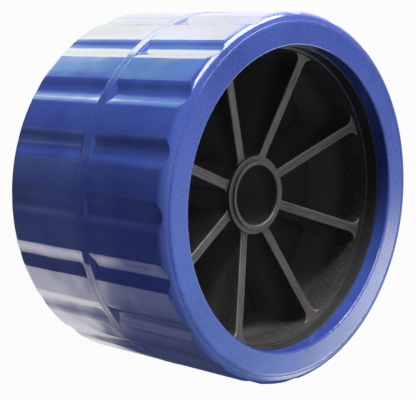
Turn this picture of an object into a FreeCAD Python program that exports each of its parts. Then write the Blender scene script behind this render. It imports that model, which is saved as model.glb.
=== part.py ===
import FreeCAD
import Part
import math
import os
from FreeCAD import Vector

# A boat trailer's side roller: a fluted tyre moulded onto a spoked hub.
# All sizes are millimetres. The bore runs along +Z and the roller stands on one ring face, at z = 0.
# Both ends are alike, so the parts are drawn at the upper end, where a depth is measured down
# from the ring face, and then mirrored about the middle. One spoke and one flute are drawn at +X.
# Their rings are then turned, so that a pocket between two spokes faces along each axis.

# Tyre, outside
tyre_diameter = 120.0         # over the lands that lie between the flutes
tyre_width = 73.0             # from ring face to ring face
bevel_width = 2.1             # across the bevel round the flat at each end
bevel_depth = 0.6
shoulder_rise = 1.5           # of the rounding from the bevel to the lands
shoulder_length = 2.6
flute_count = 20
flute_width = 10.6            # across its mouth, in the tread
flute_depth = 1.0
flute_lip_radius = 6.0
flute_end_radius = 3.0        # of the hollow in which its floor runs up to the band
band_width = 3.0              # the plain band round the middle, flush with the lands
band_edge_radius = 1.0        # where the band goes over into a flute

# Tyre, inside
tyre_wall = 8.0               # from the drum out to the lands
lip_height = 2.7              # of the lips, from the drum in to the mouth
mouth_edge_radius = 0.5
lip_length = 5.0              # of tyre in front of the hub's rim

# Drum of the hub, which the tyre is moulded round
rim_step = 0.4                # the rim stands this far inside the tyre's mouth
rim_length = 4.4              # of the rim, down to the ledge
ledge_width = 0.6
drum_draft = 0.6              # the wall closes in by this much from the ledge to the web
web_thickness = 4.0
web_fillet = 1.2

# Hub tube
bore_diameter = 20.0
bore_chamfer = 0.4
hub_length = 38.8             # over the raised lips round the bore
bore_lip_width = 1.5          # of the raised lip, from the bore out
bore_lip_height = 0.7
tube_wall = 3.0               # from the bore out to the tube's side
tube_draft = 0.5              # the tube thickens by this much from its end to the web
tube_edge_radius = 0.4

# Spokes, the same number on each side of the web
spoke_count = 8
spoke_thickness = 3.3
spoke_edge_radius = 0.5
spoke_below_tube = 1.3        # from the end of the tube down to the spokes' inner ends
spoke_below_ledge = 1.5       # from the ledge down to the spokes' outer ends
tube_flare_radius = 1.5       # where a spoke's side runs into the tube
drum_flare_radius = 3.0       # where a spoke's side runs into the drum

# From +X to the first spoke, and from there on to the middle of the flute outside it
spoke_turn = 180 / spoke_count
flute_lag = 0.9

# How far one form runs into another that it is joined to or cut from
root = 1.0
bite = 0.02

tyre_radius = tyre_diameter / 2
bevel_radius = tyre_radius - shoulder_rise
ring_face_radius = bevel_radius - bevel_width
drum_radius = tyre_radius - tyre_wall
mouth_radius = drum_radius - lip_height
rim_radius = mouth_radius - rim_step
drum_wall_radius = rim_radius - ledge_width
ledge_depth = lip_length + rim_length
web_depth = (tyre_width - web_thickness) / 2
bore_radius = bore_diameter / 2
bore_lip_radius = bore_radius + bore_lip_width
bore_lip_depth = (tyre_width - hub_length) / 2
tube_radius = bore_radius + tube_wall
tube_depth = bore_lip_depth + bore_lip_height
middle = Vector(0, 0, tyre_width / 2)
up = Vector(0, 0, 1)


def at(radius, depth):
    """A point of a turned profile near the upper end."""
    return Vector(radius, 0, tyre_width - depth)


def point_round(centre, radius, direction):
    """The point of a circle that lies from its centre in the given direction."""
    return centre + Vector(direction).normalize() * radius


def arc_round(centre, radius, first, last):
    """An arc from one direction to another, the short way round its centre."""
    first = Vector(first).normalize()
    last = Vector(last).normalize()
    ends = [point_round(centre, radius, way) for way in (first, first + last, last)]
    return Part.Arc(*ends).toShape()


def rounded_path(*corners):
    """Straight edges through the corners. A corner given as (place, radius) is rounded."""
    edges = []
    here = corners[0]
    for index in range(1, len(corners) - 1):
        corner, radius = corners[index] if isinstance(corners[index], tuple) else (corners[index], 0)
        after = corners[index + 1]
        after = after[0] if isinstance(after, tuple) else after
        if not radius:
            edges.append(Part.makeLine(here, corner))
            here = corner
            continue
        back = (here - corner).normalize()
        on = (after - corner).normalize()
        half = back.getAngle(on) / 2
        centre = corner + (back + on).normalize() * (radius / math.sin(half))
        start = corner + back * (radius / math.tan(half))
        end = corner + on * (radius / math.tan(half))
        edges.append(Part.makeLine(here, start))
        edges.append(arc_round(centre, radius, start - centre, end - centre))
        here = end
    edges.append(Part.makeLine(here, corners[-1]))
    return edges


def other_end(shape):
    """The same form at the lower end."""
    return shape.mirror(middle, up)


def turned_solid(upper_edges, first, last):
    """Turns a profile round the bore. The edges run from first to last and are mirrored below."""
    flipped = [Vector(p.x, 0, tyre_width - p.z) for p in (first, last)]
    edges = list(upper_edges)
    edges += [other_end(edge) for edge in upper_edges]
    edges.append(Part.makeLine(first, flipped[0]))
    edges.append(Part.makeLine(last, flipped[1]))
    wire = Part.Wire(Part.__sortEdges__(edges))
    return Part.Face(wire).revolve(Vector(0, 0, 0), up, 360)


def ring_of(shape, count, turn):
    """Copies of a shape drawn at +X, evenly spaced round the bore. The first is turned from +X."""
    copies = []
    for index in range(count):
        copy = shape.copy()
        copy.rotate(Vector(0, 0, 0), up, turn + index * 360 / count)
        copies.append(copy)
    return copies


def plain_tyre():
    """The tyre before its flutes are cut."""
    shoulder_radius = (shoulder_rise ** 2 + shoulder_length ** 2) / (2 * shoulder_rise)
    tread_edge = at(tyre_radius, bevel_depth + shoulder_length)
    bevel_edge = at(bevel_radius, bevel_depth)
    centre = tread_edge - Vector(shoulder_radius, 0, 0)
    shoulder = arc_round(centre, shoulder_radius, tread_edge - centre, bevel_edge - centre)
    seat = at(drum_radius, lip_length)
    face_and_mouth = rounded_path(
        bevel_edge,
        at(ring_face_radius, 0),
        (at(mouth_radius, 0), mouth_edge_radius),
        at(mouth_radius, lip_length),
        seat,
    )
    return turned_solid([shoulder] + face_and_mouth, tread_edge, seat)


def flute_outline():
    """The section that a flute is cut to, at +X: a hollow arc between two rounded lips."""
    edge_angle = math.asin(flute_width / 2 / tyre_radius)
    outward = Vector(math.cos(edge_angle), math.sin(edge_angle), 0)
    lip_centre = outward * (tyre_radius + bite - flute_lip_radius)
    rise = tyre_radius - flute_depth - lip_centre.x
    hollow_radius = (rise ** 2 + lip_centre.y ** 2 - flute_lip_radius ** 2) / (2 * (flute_lip_radius - rise))
    hollow_centre = Vector(tyre_radius - flute_depth + hollow_radius, 0, 0)
    across = hollow_centre - lip_centre
    lip = arc_round(lip_centre, flute_lip_radius, outward, across)
    bottom = arc_round(hollow_centre, hollow_radius, -across, Vector(-1, 0, 0))
    crest = point_round(lip_centre, flute_lip_radius, outward)
    outside = Vector(tyre_radius + root, crest.y, 0)
    half = [Part.makeLine(crest, outside), lip, bottom]
    edges = half + [edge.mirror(Vector(0, 0, 0), Vector(0, 1, 0)) for edge in half]
    edges.append(Part.makeLine(outside, Vector(outside.x, -outside.y, 0)))
    return Part.Face(Part.Wire(Part.__sortEdges__(edges)))


def flute_end():
    """What a flute at +X leaves standing at the band: its floor runs up in a hollow and a rounded edge."""
    crest = Vector(tyre_radius + bite, 0, (tyre_width + band_width) / 2)
    edge_centre = crest - Vector(band_edge_radius, 0, 0)
    reach = band_edge_radius + flute_end_radius
    outward = reach - flute_depth - 2 * bite
    across = Vector(outward, 0, math.sqrt(reach ** 2 - outward ** 2))
    hollow_centre = edge_centre + across
    foot = hollow_centre - Vector(flute_end_radius, 0, 0)
    edges = [
        arc_round(edge_centre, band_edge_radius, Vector(1, 0, 0), across),
        arc_round(hollow_centre, flute_end_radius, -across, Vector(-1, 0, 0)),
    ]
    corners = [foot, foot - Vector(root, 0, 0), Vector(foot.x - root, 0, crest.z - root)]
    corners += [Vector(crest.x, 0, crest.z - root), crest]
    edges += [Part.makeLine(*pair) for pair in zip(corners, corners[1:])]
    face = Part.Face(Part.Wire(Part.__sortEdges__(edges)))
    pitch = 360 / flute_count
    face.rotate(Vector(0, 0, 0), up, -pitch / 2)
    return face.revolve(Vector(0, 0, 0), up, pitch)


def flute_cutters():
    """One cutter for each flute, above the middle band and again below it."""
    face = flute_outline()
    start = (tyre_width + band_width - root) / 2
    face.translate(Vector(0, 0, start))
    cutter = face.extrude(up * (tyre_width - start + root)).cut(flute_end())
    upper = ring_of(cutter, flute_count, spoke_turn + flute_lag)
    return upper + [other_end(copy) for copy in upper]


def make_tyre():
    """The blue tyre, one moulding with the lips that hold the hub's rims."""
    return plain_tyre().cut(flute_cutters()).removeSplitter()


def plain_hub():
    """Drum, web and tube, turned in one."""
    rim = at(drum_radius, lip_length)
    bore_end = at(bore_radius, bore_lip_depth + bore_chamfer)
    path = rounded_path(
        rim,
        at(rim_radius, lip_length),
        at(rim_radius, ledge_depth),
        at(drum_wall_radius, ledge_depth),
        (at(drum_wall_radius - drum_draft, web_depth), web_fillet),
        (at(tube_radius + tube_draft, web_depth), web_fillet),
        (at(tube_radius, tube_depth), tube_edge_radius),
        at(bore_lip_radius, tube_depth),
        at(bore_lip_radius, bore_lip_depth),
        at(bore_radius + bore_chamfer, bore_lip_depth),
        bore_end,
    )
    return turned_solid(path, rim, bore_end)


def spoke_outline():
    """A spoke along +X seen from above. Its sides flare into the tube and into the drum."""
    half = spoke_thickness / 2
    inner_y = half + tube_flare_radius
    outer_y = half + drum_flare_radius
    inner_reach = tube_radius - bite + tube_flare_radius
    outer_reach = drum_wall_radius + bite - drum_flare_radius
    inner_centre = Vector(math.sqrt(inner_reach ** 2 - inner_y ** 2), inner_y, 0)
    outer_centre = Vector(math.sqrt(outer_reach ** 2 - outer_y ** 2), outer_y, 0)
    towards_side = Vector(0, -1, 0)
    inner_arc = arc_round(inner_centre, tube_flare_radius, -inner_centre, towards_side)
    outer_arc = arc_round(outer_centre, drum_flare_radius, towards_side, outer_centre)
    on_tube = point_round(inner_centre, tube_flare_radius, -inner_centre)
    on_drum = point_round(outer_centre, drum_flare_radius, outer_centre)
    in_tube = point_round(on_tube, root, -on_tube)
    in_drum = point_round(on_drum, root, on_drum)
    flank_in = point_round(inner_centre, tube_flare_radius, towards_side)
    flank_out = point_round(outer_centre, drum_flare_radius, towards_side)
    side = [
        Part.makeLine(in_tube, on_tube),
        inner_arc,
        Part.makeLine(flank_in, flank_out),
        outer_arc,
        Part.makeLine(on_drum, in_drum),
    ]
    edges = side + [edge.mirror(Vector(0, 0, 0), Vector(0, 1, 0)) for edge in side]
    edges += [Part.makeLine(end, Vector(end.x, -end.y, 0)) for end in (in_tube, in_drum)]
    return Part.Face(Part.Wire(Part.__sortEdges__(edges)))


def spoke_slope():
    """Everything under the dished line that the spokes' edges follow, as a wedge across +X."""
    inner = at(tube_radius, tube_depth + spoke_below_tube)
    outer = at(drum_wall_radius, ledge_depth + spoke_below_ledge)
    run_on = (outer - inner) * (2 * root / (outer.x - inner.x))
    top_in = inner - run_on
    top_out = outer + run_on
    low = tyre_width / 2
    corners = [top_in, top_out, Vector(top_out.x, 0, low), Vector(top_in.x, 0, low), top_in]
    face = Part.Face(Part.makePolygon(corners))
    reach = spoke_thickness / 2 + max(tube_flare_radius, drum_flare_radius) + root
    face.translate(Vector(0, -reach, 0))
    return face.extrude(Vector(0, 2 * reach, 0))


def make_spoke():
    """One spoke of the upper side, with its top edges eased."""
    blank = spoke_outline()
    blank.translate(Vector(0, 0, tyre_width / 2))
    spoke = blank.extrude(up * (tyre_width / 2)).common(spoke_slope())
    top = max(spoke.Faces, key=lambda face: face.normalAt(0, 0).z)
    sides = [edge for edge in top.Edges if tube_radius - root / 2 < edge.CenterOfMass.x < drum_wall_radius]
    return spoke.makeFillet(spoke_edge_radius, sides)


def make_hub():
    """The black hub, one moulding: drum, web, tube and the spokes of both sides."""
    upper = ring_of(make_spoke(), spoke_count, spoke_turn)
    spokes = upper + [other_end(spoke) for spoke in upper]
    return plain_hub().fuse(spokes).removeSplitter()


os.makedirs("parts", exist_ok=True)
for name, make in (("tyre", make_tyre), ("hub", make_hub)):
    shape = make()
    volume = round(shape.Volume / 1000, 2)
    print(name, shape.isValid(), len(shape.Solids), "solid,", len(shape.Faces), "faces,", volume, "cm3")
    shape.exportStep("parts/" + name + ".step")
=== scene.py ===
# %% [markdown]
# # A boat trailer's side roller
# The real object is two mouldings: a glossy blue tyre with flutes along its tread, and the black
# spoked hub that it was moulded onto. The CAD frame has both solids and their shapes are right, so
# they stay. What is left for this file is their finish, the fine lines that the mould left on the
# tyre, and a studio for the gloss to mirror. Lengths are metres, and the bore runs along Z.

# %% [markdown]
# ## The frame
# The two solids come in as meshes, each at its place. Their box is kept, and it is printed beside
# the dressed object's box at the end. The Standard view shows a colour as it is written.

import math

import bmesh
import bpy
from mathutils import Matrix, Vector


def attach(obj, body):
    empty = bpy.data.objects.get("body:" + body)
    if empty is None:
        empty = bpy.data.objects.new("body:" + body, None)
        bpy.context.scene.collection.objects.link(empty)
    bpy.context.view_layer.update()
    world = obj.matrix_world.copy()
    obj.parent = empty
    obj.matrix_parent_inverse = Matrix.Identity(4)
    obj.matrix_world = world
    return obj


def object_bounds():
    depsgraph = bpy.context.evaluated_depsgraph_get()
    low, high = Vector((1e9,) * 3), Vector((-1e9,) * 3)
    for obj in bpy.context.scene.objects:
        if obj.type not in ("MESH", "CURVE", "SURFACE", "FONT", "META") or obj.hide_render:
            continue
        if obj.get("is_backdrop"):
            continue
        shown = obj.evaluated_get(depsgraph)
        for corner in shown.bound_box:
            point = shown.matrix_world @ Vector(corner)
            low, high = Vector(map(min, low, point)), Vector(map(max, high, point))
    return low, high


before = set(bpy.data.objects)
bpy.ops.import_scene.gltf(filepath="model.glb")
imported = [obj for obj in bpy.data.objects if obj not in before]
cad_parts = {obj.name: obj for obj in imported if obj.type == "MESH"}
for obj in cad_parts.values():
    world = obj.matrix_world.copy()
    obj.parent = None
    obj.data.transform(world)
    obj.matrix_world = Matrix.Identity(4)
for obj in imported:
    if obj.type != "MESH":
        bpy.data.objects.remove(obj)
cad_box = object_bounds()
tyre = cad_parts["tyre"]
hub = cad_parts["hub"]
scene = bpy.context.scene
scene.view_settings.view_transform = "Standard"
for node in (tyre, hub):
    print(node.name, len(node.data.vertices), "corners", len(node.data.polygons), "triangles")

# %% [markdown]
# ## Sizes
# Two sizes are needed again and again: how wide the roller is between its ring faces, and how far
# the tread is from the bore's axis. Both are read from the box, so they follow the solids.

# %% Sizes
MM = 0.001
WIDTH = cad_box[1][2] - cad_box[0][2]
TREAD_RADIUS = (cad_box[1][0] - cad_box[0][0]) / 2
print("wide", round(WIDTH / MM, 1), "mm, across", round(2 * TREAD_RADIUS / MM, 1), "mm")

# %% [markdown]
# ## Camera
# The photo looks down at one end of the roller from the side, and its bore's axis runs from the
# lower left to the upper right. A camera is a place, an aim and a turn about its own line of sight,
# so these three are set here, with a long lens for the photo's weak perspective.

# %% Camera
SENSOR_WIDTH = 36.0
LENS_LENGTH = 108.97
NEAREST, FARTHEST = 0.01, 20.0
AIM = Vector((0.00056, -0.00388, 0.03493))
CAMERA_BEARING = math.radians(-149.052)
CAMERA_RISE = math.radians(43.808)
CAMERA_DISTANCE = 0.42872
CAMERA_ROLL = math.radians(97.283)

lens = bpy.data.cameras.new("camera")
lens.sensor_fit = "HORIZONTAL"
lens.sensor_width = SENSOR_WIDTH
lens.lens = LENS_LENGTH
lens.clip_start, lens.clip_end = NEAREST, FARTHEST
camera = bpy.data.objects.new("camera", lens)
scene.collection.objects.link(camera)
scene.camera = camera

to_camera = Vector((math.cos(CAMERA_BEARING) * math.cos(CAMERA_RISE),
                    math.sin(CAMERA_BEARING) * math.cos(CAMERA_RISE),
                    math.sin(CAMERA_RISE)))
station = Matrix.Translation(AIM + to_camera * CAMERA_DISTANCE)
facing = (-to_camera).to_track_quat("-Z", "Y").to_matrix().to_4x4()
camera.matrix_world = station @ facing @ Matrix.Rotation(CAMERA_ROLL, 4, "Z")
print("camera at", [round(v, 4) for v in camera.matrix_world.translation])

# %% [markdown]
# ## Helpers for colour
# Both finishes are made of the same few steps: noise that is stretched along an axis, a value taken
# softly from one range to another, a colour between two, and a step of arithmetic. A node tree gets
# long when each step is written out, so each of them is a function here.


# %% Material, noise and range
def new_material(name):
    made = bpy.data.materials.new(name)
    made.use_nodes = True
    nodes = made.node_tree.nodes
    return made, nodes, made.node_tree.links, nodes["Principled BSDF"]


def speckle(nodes, links, place, scale, detail=3.0, stretch=(1, 1, 1)):
    """Noise from 0 to 1. The stretch makes its blotches longer along an axis."""
    mapping = nodes.new("ShaderNodeMapping")
    mapping.inputs["Scale"].default_value = [1 / factor for factor in stretch]
    links.new(place, mapping.inputs["Vector"])
    made = nodes.new("ShaderNodeTexNoise")
    made.inputs["Scale"].default_value = scale
    made.inputs["Detail"].default_value = detail
    links.new(mapping.outputs[0], made.inputs["Vector"])
    return made.outputs[0]


def spread(nodes, links, value, low, high, to_low=0.0, to_high=1.0):
    """Takes a value from one range to another, softly, and holds it there outside the range."""
    made = nodes.new("ShaderNodeMapRange")
    made.interpolation_type = "SMOOTHSTEP"
    ranges = {"From Min": low, "From Max": high, "To Min": to_low, "To Max": to_high}
    for socket, number in ranges.items():
        made.inputs[socket].default_value = number
    links.new(value, made.inputs["Value"])
    return made.outputs[0]


# %% Colour and arithmetic
def blend(nodes, links, share, first, second):
    """A colour between two, each a link or a colour written out."""
    made = nodes.new("ShaderNodeMix")
    made.data_type = "RGBA"
    for socket, colour in ((made.inputs[6], first), (made.inputs[7], second)):
        if isinstance(colour, tuple):
            socket.default_value = (*colour, 1)
        else:
            links.new(colour, socket)
    links.new(share, made.inputs[0])
    return made.outputs[2]


def sums(nodes, links, operation, first, second=0.0):
    """One step of arithmetic on two values, each a link or a number."""
    made = nodes.new("ShaderNodeMath")
    made.operation = operation
    for socket, value in zip(made.inputs, (first, second)):
        if isinstance(value, (int, float)):
            socket.default_value = value
        else:
            links.new(value, socket)
    return made.outputs[0]


# %% [markdown]
# ## Helpers for the surface
# What is too fine to model is done by turning the normals: a bump of a known depth, which may lie
# on another one, and a Bevel node that lets an edge catch the light as a moulded edge does. Wear
# depends on the way that a surface faces, which is read from how steeply its normal points up or
# down.


# %% Bumps, eased edges and facing
def dent(nodes, links, height, depth, under=None):
    """A bump of the given depth, on top of another one."""
    made = nodes.new("ShaderNodeBump")
    made.inputs["Strength"].default_value = 1.0
    made.inputs["Distance"].default_value = depth
    links.new(height, made.inputs["Height"])
    if under is not None:
        links.new(under, made.inputs["Normal"])
    return made.outputs[0]


def eased_edges(nodes, radius):
    """Normals that turn over a sharp edge as if it were slightly rounded."""
    made = nodes.new("ShaderNodeBevel")
    made.samples = 8
    made.inputs["Radius"].default_value = radius
    return made.outputs[0]


def facing_the_ends(nodes, links):
    """How far a surface faces the roller's ends: 1 on the ring faces, 0 on the tread."""
    geometry = nodes.new("ShaderNodeNewGeometry")
    parts = nodes.new("ShaderNodeSeparateXYZ")
    links.new(geometry.outputs["Normal"], parts.inputs[0])
    return sums(nodes, links, "ABSOLUTE", parts.outputs[2])


# %% [markdown]
# ## The tyre's finish
# The tyre is a glossy blue elastomer: its pigment is a little cloudy, its ring faces are grainy and
# less glossy than the tread, and its tread has slow waves along the axis that bend the reflections.
# It could be one flat colour with one gloss, but then its bands of light would be ruled lines. The
# noises are counted in blotches per metre.

# %% Tyre's finish
DEEP_BLUE = (0.036, 0.064, 0.30)
PALE_BLUE = (0.052, 0.090, 0.38)
GRAIN_BLUE = (0.088, 0.132, 0.45)
CLOUDS, GRAINS, STREAKS, WAVES = 38, 1300, 420, 60
TYRE_GLOSS = (0.045, 0.085)
RING_FACE_SATIN = 0.12
WAVE_DEPTH = 0.50 * MM
TYRE_GRAIN_DEPTH = 0.004 * MM


def glossy_blue(name, edge_radius):
    """The tyre's finish. With an edge radius of 0 the edges stay as they are modelled."""
    made, nodes, links, shader = new_material(name)
    place = nodes.new("ShaderNodeTexCoord").outputs["Object"]
    ends = facing_the_ends(nodes, links)

    clouds = speckle(nodes, links, place, CLOUDS, 4)
    grains = speckle(nodes, links, place, GRAINS, 2)
    cloudy = blend(nodes, links, spread(nodes, links, clouds, 0.35, 0.65), DEEP_BLUE, PALE_BLUE)
    on_faces = spread(nodes, links, ends, 0.5, 0.95, 0.15, 0.42)
    lighter = sums(nodes, links, "MULTIPLY", spread(nodes, links, grains, 0.46, 0.66), on_faces)
    links.new(blend(nodes, links, lighter, cloudy, GRAIN_BLUE), shader.inputs["Base Color"])

    streaks = speckle(nodes, links, place, STREAKS, 3, (1, 1, 14))
    gloss = spread(nodes, links, streaks, 0.3, 0.75, *TYRE_GLOSS)
    satin = spread(nodes, links, ends, 0.6, 0.95, 0.0, RING_FACE_SATIN)
    links.new(sums(nodes, links, "ADD", gloss, satin), shader.inputs["Roughness"])
    shader.inputs["IOR"].default_value = 1.45

    waves = speckle(nodes, links, place, WAVES, 1.5, (1, 1, 1.4))
    rounded = eased_edges(nodes, edge_radius) if edge_radius else None
    on_tread = spread(nodes, links, ends, 0.2, 0.6, 1.0, 0.08)
    height = sums(nodes, links, "MULTIPLY", waves, on_tread)
    wavy = dent(nodes, links, height, WAVE_DEPTH, rounded)
    links.new(dent(nodes, links, grains, TYRE_GRAIN_DEPTH, wavy), shader.inputs["Normal"])
    print(name, "has", len(nodes), "nodes")
    return made


tyre.data.materials.clear()
tyre.data.materials.append(glossy_blue("glossy blue tyre", 0.6 * MM))

# %% [markdown]
# ## Strokes along the spokes
# The tops of the spokes are scuffed, and the strokes run along each spoke. Noise that is stretched
# along X would run askew on most of them, so it is read in coordinates that follow the spoke: its
# eighth of the turn, the way across it and the way out along it. Each spoke gets its own slice of
# the noise, so that no two look alike.

# %% Coordinates that follow a spoke
SPOKE_TURN = math.radians(45)
SLICE = 0.02


def along_the_spokes(nodes, links, place):
    """Coordinates that follow a spoke: across it, along it, and one slice for each spoke."""
    parts = nodes.new("ShaderNodeSeparateXYZ")
    links.new(place, parts.inputs[0])
    angle = sums(nodes, links, "ARCTAN2", parts.outputs[1], parts.outputs[0])
    turns = sums(nodes, links, "DIVIDE", angle, SPOKE_TURN)
    off = sums(nodes, links, "SUBTRACT", sums(nodes, links, "FRACT", turns), 0.5)
    square = [sums(nodes, links, "MULTIPLY", parts.outputs[axis], parts.outputs[axis])
              for axis in (0, 1)]
    out = sums(nodes, links, "SQRT", sums(nodes, links, "ADD", *square))
    across = sums(nodes, links, "MULTIPLY", sums(nodes, links, "MULTIPLY", off, SPOKE_TURN), out)
    layer = sums(nodes, links, "MULTIPLY", sums(nodes, links, "FLOOR", turns), SLICE)
    joined = nodes.new("ShaderNodeCombineXYZ")
    for socket, value in zip(joined.inputs, (across, out, layer)):
        links.new(value, socket)
    return joined.outputs[0]


# %% [markdown]
# ## The hub's finish
# The hub is satin black, and it is not the same black all over. Its rims are clean and there is
# brown dust on the drum's wall. Deep down the black is paler, as painted light that lifts what lies
# deep, and the web in the middle is darker, as painted shade deep in the pockets. The tops of the
# spokes and of the tube are scuffed grey, and their eased edges are lighter in patches, as a
# painted highlight. Faces could be picked by hand for each zone. Here a zone is found from the
# distance to the roller's middle and from the way that the surface faces, so that it goes over
# softly into the next one.

# %% Zones of the hub
# distances from the roller's middle, from where a zone starts to where it is full
RIM_ZONE = (26.3 * MM, 26.9 * MM)
RAISED_ZONE = (7 * MM, 14 * MM)
# the deep zone, which is painted paler as painted light
DEEP_PAINTED_LIGHT_ZONE = (19 * MM, 10 * MM)
# the web's zone, which is painted darker as painted shade
WEB_ZONE = (12 * MM, 7 * MM)


def hub_zones(nodes, links, place):
    """The distance from the roller's middle, the rims, and what stands up between the two."""
    parts = nodes.new("ShaderNodeSeparateXYZ")
    links.new(place, parts.inputs[0])
    above = sums(nodes, links, "SUBTRACT", parts.outputs[2], WIDTH / 2)
    from_middle = sums(nodes, links, "ABSOLUTE", above)
    rim = spread(nodes, links, from_middle, *RIM_ZONE)
    raised = spread(nodes, links, from_middle, *RAISED_ZONE)
    return from_middle, rim, sums(nodes, links, "SUBTRACT", raised, rim)


# %% Hub's blacks
PLAIN_TONES = ((0.027, 0.027, 0.029), (0.052, 0.046, 0.043))
DUST = (0.088, 0.070, 0.060)
# painted light: the black deep down is paler, so that what the lamps hardly reach looks as dark as
# the web
DEEP_PAINTED_LIGHT = (0.120, 0.119, 0.128)
RIM_TONES = ((0.018, 0.018, 0.021), (0.030, 0.028, 0.031))
# painted shade: the web is darker than the rest, for the shade deep in the pockets
WEB_PAINTED_SHADE = ((0.012, 0.012, 0.013), (0.017, 0.016, 0.016))
DUST_SPECKS = 900


def hub_black(nodes, links, place, grains, tilt, from_middle, rim):
    """The hub's black with its dust, painted light deep down and painted shade on the web, before
    any wear.
    """
    grainy = spread(nodes, links, grains, 0.40, 0.66)
    dusty = spread(nodes, links, speckle(nodes, links, place, DUST_SPECKS, 3), 0.52, 0.66, 0.0, 0.7)
    deep = spread(nodes, links, from_middle, *DEEP_PAINTED_LIGHT_ZONE)
    low = spread(nodes, links, from_middle, *WEB_ZONE)
    web = sums(nodes, links, "MULTIPLY", spread(nodes, links, tilt, 0.1, 0.5), low)
    black = blend(nodes, links, grainy, *PLAIN_TONES)
    black = blend(nodes, links, dusty, black, DUST)
    # painted light: paler deep down
    black = blend(nodes, links, deep, black, DEEP_PAINTED_LIGHT)
    black = blend(nodes, links, rim, black, blend(nodes, links, grainy, *RIM_TONES))
    # painted shade: darker on the web
    return blend(nodes, links, web, black, blend(nodes, links, grainy, *WEB_PAINTED_SHADE))


# %% Hub's finish
SCUFF_TONES = ((0.030, 0.026, 0.025), (0.070, 0.060, 0.056))
# painted highlight for the eased edges of the spokes and the tube
EDGE_HIGHLIGHT = (0.135, 0.112, 0.097)
PATCHES, STROKES = 110, 1500
HUB_ROUGHNESS = (0.42, 0.52)
SCUFFS_ARE_ROUGHER = 0.15
HUB_EDGE = 0.25 * MM
STROKE_DEPTH = 0.22 * MM
HUB_GRAIN_DEPTH = 0.05 * MM


def satin_black():
    made, nodes, links, shader = new_material("satin black hub")
    place = nodes.new("ShaderNodeTexCoord").outputs["Object"]
    tilt = facing_the_ends(nodes, links)
    from_middle, rim, raised = hub_zones(nodes, links, place)
    tops = sums(nodes, links, "MULTIPLY", spread(nodes, links, tilt, 0.55, 0.9), raised)
    patches = speckle(nodes, links, place, PATCHES, 4)
    grains = speckle(nodes, links, place, GRAINS, 2)
    spokewise = along_the_spokes(nodes, links, place)
    strokes = speckle(nodes, links, spokewise, STROKES, 3, (1, 16, 1))

    black = hub_black(nodes, links, place, grains, tilt, from_middle, rim)
    patchy = spread(nodes, links, patches, 0.25, 0.6, 0.8, 1.0)
    worn = sums(nodes, links, "MULTIPLY", tops, patchy)
    scuffed = blend(nodes, links, spread(nodes, links, strokes, 0.36, 0.62), *SCUFF_TONES)
    black = blend(nodes, links, worn, black, scuffed)
    # painted highlight: surfaces that lean between side and top on raised parts are lighter, in
    # patches, as glints on eased edges
    leaning = spread(nodes, links, tilt, 0.15, 0.5)
    turned = sums(nodes, links, "MULTIPLY", leaning, spread(nodes, links, tilt, 0.97, 0.90))
    highlight_patches = spread(nodes, links, patches, 0.3, 0.6, 0.35, 1.0)
    edges = sums(nodes, links, "MULTIPLY", sums(nodes, links, "MULTIPLY", turned, raised), highlight_patches)
    links.new(blend(nodes, links, edges, black, EDGE_HIGHLIGHT), shader.inputs["Base Color"])

    rough = spread(nodes, links, patches, 0.3, 0.7, *HUB_ROUGHNESS)
    rougher = sums(nodes, links, "MULTIPLY", worn, SCUFFS_ARE_ROUGHER)
    links.new(sums(nodes, links, "ADD", rough, rougher), shader.inputs["Roughness"])
    shader.inputs["Specular IOR Level"].default_value = 0.35
    on_tops = sums(nodes, links, "MULTIPLY", strokes, tops)
    scuffs = dent(nodes, links, on_tops, STROKE_DEPTH, eased_edges(nodes, HUB_EDGE))
    links.new(dent(nodes, links, grains, HUB_GRAIN_DEPTH, scuffs), shader.inputs["Normal"])
    print(made.name, "has", len(nodes), "nodes")
    return made


hub.data.materials.clear()
hub.data.materials.append(satin_black())

# %% [markdown]
# ## Fine beads
# A mould leaves a fine line where its parts meet. This tyre has one along each edge of the middle
# band, and one where each ring face goes over into its bevel. A line in the bump would be lost in
# the waves, and a line in the colour wouldn't catch the light. So each is a thin ring, most of
# which is sunk in the tyre: a small circle that is spun once round the bore's axis.

# %% Fine beads
BEAD_RADIUS = 0.20 * MM
LINE_AXIS = TREAD_RADIUS - 0.12 * MM
LINE_FROM_MIDDLE = 1.4 * MM
FACE_BEAD_AXIS = 56.95 * MM
fine_blue = glossy_blue("glossy blue beads", 0)


def bead(name, distance, height):
    """A fine round ring about the bore's axis, most of it sunk in the tyre."""
    mesh = bmesh.new()
    circle = bmesh.ops.create_circle(mesh, segments=10, radius=BEAD_RADIUS)
    bmesh.ops.rotate(mesh, verts=circle["verts"], cent=(0, 0, 0),
                     matrix=Matrix.Rotation(math.radians(90), 3, "X"))
    bmesh.ops.translate(mesh, verts=circle["verts"], vec=(distance, 0, height))
    bmesh.ops.spin(mesh, geom=mesh.verts[:] + mesh.edges[:], cent=(0, 0, 0), axis=(0, 0, 1),
                   angle=math.tau, steps=240, use_merge=True)
    bmesh.ops.remove_doubles(mesh, verts=mesh.verts, dist=0.001 * MM)
    bmesh.ops.recalc_face_normals(mesh, faces=mesh.faces)
    for face in mesh.faces:
        face.smooth = True
    data = bpy.data.meshes.new(name)
    mesh.to_mesh(data)
    mesh.free()
    data.materials.append(fine_blue)
    made = bpy.data.objects.new(name, data)
    scene.collection.objects.link(made)
    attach(made, "root")
    print(name, len(data.polygons), "faces, at", round(height / MM, 2), "mm")


for name, distance, height in (
    ("mould_line_lower", LINE_AXIS, WIDTH / 2 - LINE_FROM_MIDDLE),
    ("mould_line_upper", LINE_AXIS, WIDTH / 2 + LINE_FROM_MIDDLE),
    ("face_bead_lower", FACE_BEAD_AXIS, BEAD_RADIUS),
    ("face_bead_upper", FACE_BEAD_AXIS, WIDTH - BEAD_RADIUS),
):
    bead(name, distance, height)

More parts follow.
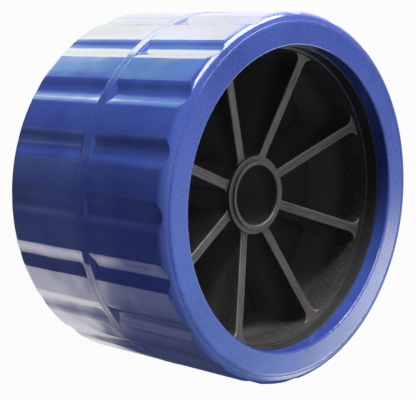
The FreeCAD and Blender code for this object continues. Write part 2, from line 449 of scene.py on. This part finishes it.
# %% [markdown]
# ## Floor
# The floor is pale paper that shows white to the camera and still takes the roller's shadow. White
# paint under enough light would do that too, but it would throw its light back at the tread. So the
# paper is grey to the light that lands on it, and most of it glows for the camera, mirrors and
# glass. The roller's own gloss looks through the floor, at the cards that reach below it.

# %% Floor
FLOOR_HALF_WIDTH = 3.0
PAPER_GREY = 0.30
GLOWING_SHARE = 0.96

floor_mesh = bmesh.new()
bmesh.ops.create_grid(floor_mesh, x_segments=1, y_segments=1, size=FLOOR_HALF_WIDTH)
floor_data = bpy.data.meshes.new("floor")
floor_mesh.to_mesh(floor_data)
floor_mesh.free()
floor = bpy.data.objects.new("floor", floor_data)
scene.collection.objects.link(floor)
floor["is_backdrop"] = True

paper, nodes, links, shader = new_material("pale paper")
shader.inputs["Base Color"].default_value = (PAPER_GREY, PAPER_GREY, PAPER_GREY, 1)
shader.inputs["Roughness"].default_value = 1.0
shader.inputs["Specular IOR Level"].default_value = 0.0
glow = nodes.new("ShaderNodeEmission")
glow.inputs["Color"].default_value = (1, 1, 1, 1)
seen = nodes.new("ShaderNodeLightPath").outputs
either = sums(nodes, links, "MAXIMUM", seen["Is Camera Ray"], seen["Is Glossy Ray"])
any_of = sums(nodes, links, "MAXIMUM", either, seen["Is Transmission Ray"])
shaded = nodes.new("ShaderNodeMixShader")
links.new(sums(nodes, links, "MULTIPLY", any_of, GLOWING_SHARE), shaded.inputs[0])
links.new(shader.outputs[0], shaded.inputs[1])
links.new(glow.outputs[0], shaded.inputs[2])
links.new(shaded.outputs[0], nodes["Material Output"].inputs["Surface"])
floor_data.materials.append(paper)
floor.visible_glossy = False
print("floor is", 2 * FLOOR_HALF_WIDTH, "m wide")

# %% [markdown]
# ## World and lamps
# A weak white world fills the shadows. One soft lamp lights the ring face and the hub from above,
# and a key lamp lights the drum's wall through the mouth. Both are large for soft shadows, and
# hidden from reflections, because a lamp's rectangle would show as a hard patch on the tread.

# %% World
WORLD_STRENGTH = 0.13
world = bpy.data.worlds.new("studio")
world.use_nodes = True
backdrop = world.node_tree.nodes["Background"]
backdrop.inputs["Color"].default_value = (1, 1, 1, 1)
backdrop.inputs["Strength"].default_value = WORLD_STRENGTH
scene.world = world

# %% Lamps
LAMPS_AIM = Vector((0, 0, 0.04))


def around(bearing, distance, height):
    """A place given by its bearing from +X, its distance from the bore's axis and its height."""
    turn = math.radians(bearing)
    return Vector((distance * math.cos(turn), distance * math.sin(turn), height))


def soft_lamp(name, place, width, height, watts):
    data = bpy.data.lights.new(name, "AREA")
    data.shape = "RECTANGLE"
    data.size = width
    data.size_y = height
    data.energy = watts
    lamp = bpy.data.objects.new(name, data)
    lamp.location = place
    lamp.rotation_euler = (LAMPS_AIM - place).to_track_quat("-Z", "Y").to_euler()
    lamp.visible_glossy = False
    scene.collection.objects.link(lamp)
    print(name, "lamp at", [round(v, 3) for v in place], "with", watts, "W")


soft_lamp("key", around(130.5, 0.67, 0.22), 0.30, 0.16, 7.4)
soft_lamp("overhead", around(0, 0.0, 1.2), 0.50, 0.50, 7.5)

# %% [markdown]
# ## What the gloss mirrors
# A glossy part looks like its surroundings. The photo's studio had soft boxes, dark gaps and a pale
# table, and the tread mirrors them as bands along its flutes. A picture of a studio could be
# wrapped round the world, but curved cards are easier to shift and to dim one by one. They stand
# far round the roller, and only reflections see them, so they add no light to what isn't glossy.

# %% Curved cards
CARD_STEP = 6


def wall(name, first, last, bottom, top, distance):
    """A curved card between two bearings. Only reflections see it."""
    mesh = bmesh.new()
    low = mesh.verts.new(around(first, distance, bottom))
    high = mesh.verts.new(around(first, distance, top))
    edge = mesh.edges.new((low, high))
    steps = max(2, round((last - first) / CARD_STEP))
    bmesh.ops.spin(mesh, geom=[low, high, edge], cent=(0, 0, 0), axis=(0, 0, 1),
                   angle=math.radians(last - first), steps=steps, use_duplicate=False,
                   use_merge=last - first >= 360)
    data = bpy.data.meshes.new(name)
    mesh.to_mesh(data)
    mesh.free()
    made = bpy.data.objects.new(name, data)
    scene.collection.objects.link(made)
    made.visible_camera = False
    made.visible_diffuse = False
    made.visible_transmission = False
    made.visible_shadow = False
    made.visible_volume_scatter = False
    made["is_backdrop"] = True
    print(name, len(data.polygons), "faces")
    return made


def glow_paint(name, strength):
    made = bpy.data.materials.new(name)
    made.use_nodes = True
    nodes = made.node_tree.nodes
    links = made.node_tree.links
    nodes.remove(nodes["Principled BSDF"])
    light = nodes.new("ShaderNodeEmission")
    light.inputs["Strength"].default_value = strength
    links.new(light.outputs[0], nodes["Material Output"].inputs["Surface"])
    return made, nodes, links, light


# %% [markdown]
# ## Light by bearing
# One card goes all the way round. Its light changes with the bearing, in three heights: the low
# part is what the tread mirrors near its lower end, the high part near its upper end, and the sky
# is what the bevel and the shoulder mirror. Each stop is a bearing and its levels of red, green and
# blue, where 1 is white. The levels are divided by the brightest, so that a ramp can hold them.
# The levels of the low and high parts go back to a program that worked them out from the colours of
# the photo's tread. They are rounded, and some were changed.

# %% Light by bearing
BRIGHTEST = 8.0


def by_bearing(nodes, links, turn, stops):
    """A colour that changes with the bearing. Each stop is a bearing and three light levels."""
    ramp = nodes.new("ShaderNodeValToRGB")
    elements = ramp.color_ramp.elements
    while len(elements) > 1:
        elements.remove(elements[-1])
    for index, (bearing, *levels) in enumerate(stops):
        element = elements[0] if index == 0 else elements.new(bearing / 360)
        element.position = bearing / 360
        element.color = [level / BRIGHTEST for level in levels] + [1]
    links.new(turn, ramp.inputs[0])
    return ramp.outputs[0]


# %% Low part of the surround
LOW_STOPS = (
    # a fading edge, then a dark blue gap
    (0, 1.1, 1.1, 1.1), (40, 0.08, 0.12, 0.35), (55, 0.08, 0.12, 0.35),
    # the great soft box, brightest at its far edge
    (58, 1.2, 1.25, 1.3), (67, 1.4, 1.45, 1.4), (79, 1.9, 1.95, 1.4), (91, 2.8, 2.8, 1.4),
    (104, 3.8, 3.6, 1.8), (110, 5.0, 5.0, 3.0), (122, 6.0, 6.2, 4.2), (125, 5.0, 5.4, 4.0),
    (128, 2.7, 3.3, 2.7), (134, 1.5, 2.5, 2.1), (141, 1.4, 2.6, 2.7),
    # a grey edge, then the dark behind the camera's left
    (146, 0.75, 0.8, 0.8), (153, 0.5, 0.7, 0.8), (158, 0.03, 0.03, 0.05), (190, 0.15, 0.15, 0.3),
    # the dim room
    (198, 0.9, 0.85, 1.7), (205, 0.4, 0.5, 0.8), (222, 0.25, 0.3, 0.6),
    (255, 0.3, 0.35, 0.65), (269, 0.3, 0.3, 0.45),
    # the pale table, which starts at a hard edge
    (271.5, 2.9, 2.9, 3.4), (287, 3.8, 3.7, 4.1), (300, 3.4, 3.3, 3.4), (312, 3.3, 3.2, 3.2),
    (324, 2.6, 2.5, 2.5), (336, 2.0, 2.0, 2.1), (348, 1.3, 1.3, 1.35), (360, 1.2, 1.2, 1.2),
)
print("low part has", len(LOW_STOPS), "stops")

# %% High part of the surround
HIGH_STOPS = (
    # a dark blue gap
    (0, 0.05, 0.07, 0.13), (40, 0.08, 0.12, 0.35), (55, 0.08, 0.12, 0.35),
    # the great soft box
    (58, 1.35, 1.35, 1.4), (67, 1.6, 1.55, 1.45), (79, 2.1, 2.1, 1.5), (91, 3.1, 2.8, 1.3),
    (104, 4.4, 4.2, 2.5), (110, 5.0, 5.0, 3.4), (122, 6.5, 6.5, 4.4), (126, 2.3, 2.8, 1.9),
    (128.5, 0.9, 1.7, 1.2), (134.5, 0.65, 1.6, 1.8), (141, 1.0, 2.0, 2.0), (147, 0.75, 0.85, 1.7),
    # the dark, and the dim room
    (153, 0.1, 0.12, 0.1), (160, 0.04, 0.04, 0.05), (190, 0.04, 0.04, 0.05),
    (198, 0.16, 0.3, 0.25), (205, 0.07, 0.06, 0.2), (269, 0.08, 0.06, 0.25),
    # what the far side throws back, with a streak in it
    (271.5, 0.85, 0.85, 1.3), (281, 0.95, 1.0, 1.6), (287, 0.9, 0.9, 1.4), (299, 0.45, 0.47, 0.75),
    (312, 0.16, 0.16, 0.3), (318, 0.3, 0.31, 0.5), (330, 0.12, 0.14, 0.25), (360, 0.05, 0.07, 0.13),
)
print("high part has", len(HIGH_STOPS), "stops")

# %% Sky of the surround
SKY_STOPS = (
    # a blue window, then a grey ceiling
    (0, 0.9, 1.4, 2.2), (23, 0.9, 1.5, 2.3), (28, 1.1, 1.6, 2.3), (33, 0.9, 1.2, 1.6),
    (38, 0.7, 0.75, 1.1), (43, 0.25, 0.25, 0.4), (60, 0.5, 0.5, 0.6), (90, 0.8, 0.8, 0.9),
    (130, 0.8, 0.8, 0.9), (150, 0.35, 0.35, 0.5), (270, 0.35, 0.35, 0.5), (340, 0.8, 1.1, 1.5),
    (360, 0.9, 1.4, 2.2),
)
print("sky has", len(SKY_STOPS), "stops")

# %% [markdown]
# ## The surround
# The three parts meet softly, because a studio's far corners are out of focus. Only past a bearing
# of about 300 degrees, where a reflection in the photo ends in a clear line, is the lower edge
# crisp. The bearing is worked out from the card's own coordinates, as a share of one turn.

# %% The surround
SURROUND_DISTANCE = 0.6
SURROUND_BOTTOM, SURROUND_TOP = -1.3, 1.4
SOFT_EDGE = (-0.66, -0.52)
CRISP_EDGE = (-0.615, -0.57)
SKY_EDGE = (0.05, 0.15)
CRISP_FROM = (0.84, 0.93)  # shares of a turn

surround = wall("surround", 0, 360, SURROUND_BOTTOM, SURROUND_TOP, SURROUND_DISTANCE)
paint, nodes, links, light = glow_paint("surround", BRIGHTEST)
parts = nodes.new("ShaderNodeSeparateXYZ")
links.new(nodes.new("ShaderNodeTexCoord").outputs["Object"], parts.inputs[0])
height = parts.outputs[2]
angle = sums(nodes, links, "ARCTAN2", parts.outputs[1], parts.outputs[0])
turn = sums(nodes, links, "FRACT", sums(nodes, links, "MULTIPLY", angle, 1 / math.tau))
low = by_bearing(nodes, links, turn, LOW_STOPS)
high = by_bearing(nodes, links, turn, HIGH_STOPS)
sky = by_bearing(nodes, links, turn, SKY_STOPS)
soft = sums(nodes, links, "MULTIPLY", spread(nodes, links, height, *SOFT_EDGE),
            spread(nodes, links, turn, *CRISP_FROM, 1, 0))
crisp = sums(nodes, links, "MULTIPLY", spread(nodes, links, height, *CRISP_EDGE),
             spread(nodes, links, turn, *CRISP_FROM))
band = blend(nodes, links, sums(nodes, links, "ADD", soft, crisp), low, high)
overhead = spread(nodes, links, height, *SKY_EDGE)
links.new(blend(nodes, links, overhead, band, sky), light.inputs["Color"])
surround.data.materials.append(paint)

# %% [markdown]
# ## The two panels
# Two brighter panels stand just in front of the surround, for the white glints on the shoulder and
# the flutes. Their light is slightly yellow, because the blue under the gloss adds to it, and the
# photo's glints are white.

# %% The two panels
PANEL_DISTANCE = 0.59
for name, first, last, bottom, top, colour, strength in (
    ("side panel", -5, 30.5, 0.26, 0.495, (1.0, 1.0, 0.86), 7.6),
    ("key panel", 93, 157, 0.13, 0.48, (1.0, 0.99, 0.90), 20.0),
):
    panel = wall(name, first, last, bottom, top, PANEL_DISTANCE)
    paint, nodes, links, light = glow_paint(name, strength)
    light.inputs["Color"].default_value = (*colour, 1)
    panel.data.materials.append(paint)

# %% [markdown]
# ## Sizes before and after
# The sizes before and after dressing are printed side by side, so that a slip in scale would show
# at once.

# %% Sizes before and after
boxes = {"cad": cad_box, "visual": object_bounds()}
for name, box in boxes.items():
    print(name, "size", [round((high - low) / MM, 2) for low, high in zip(*box)], "mm")
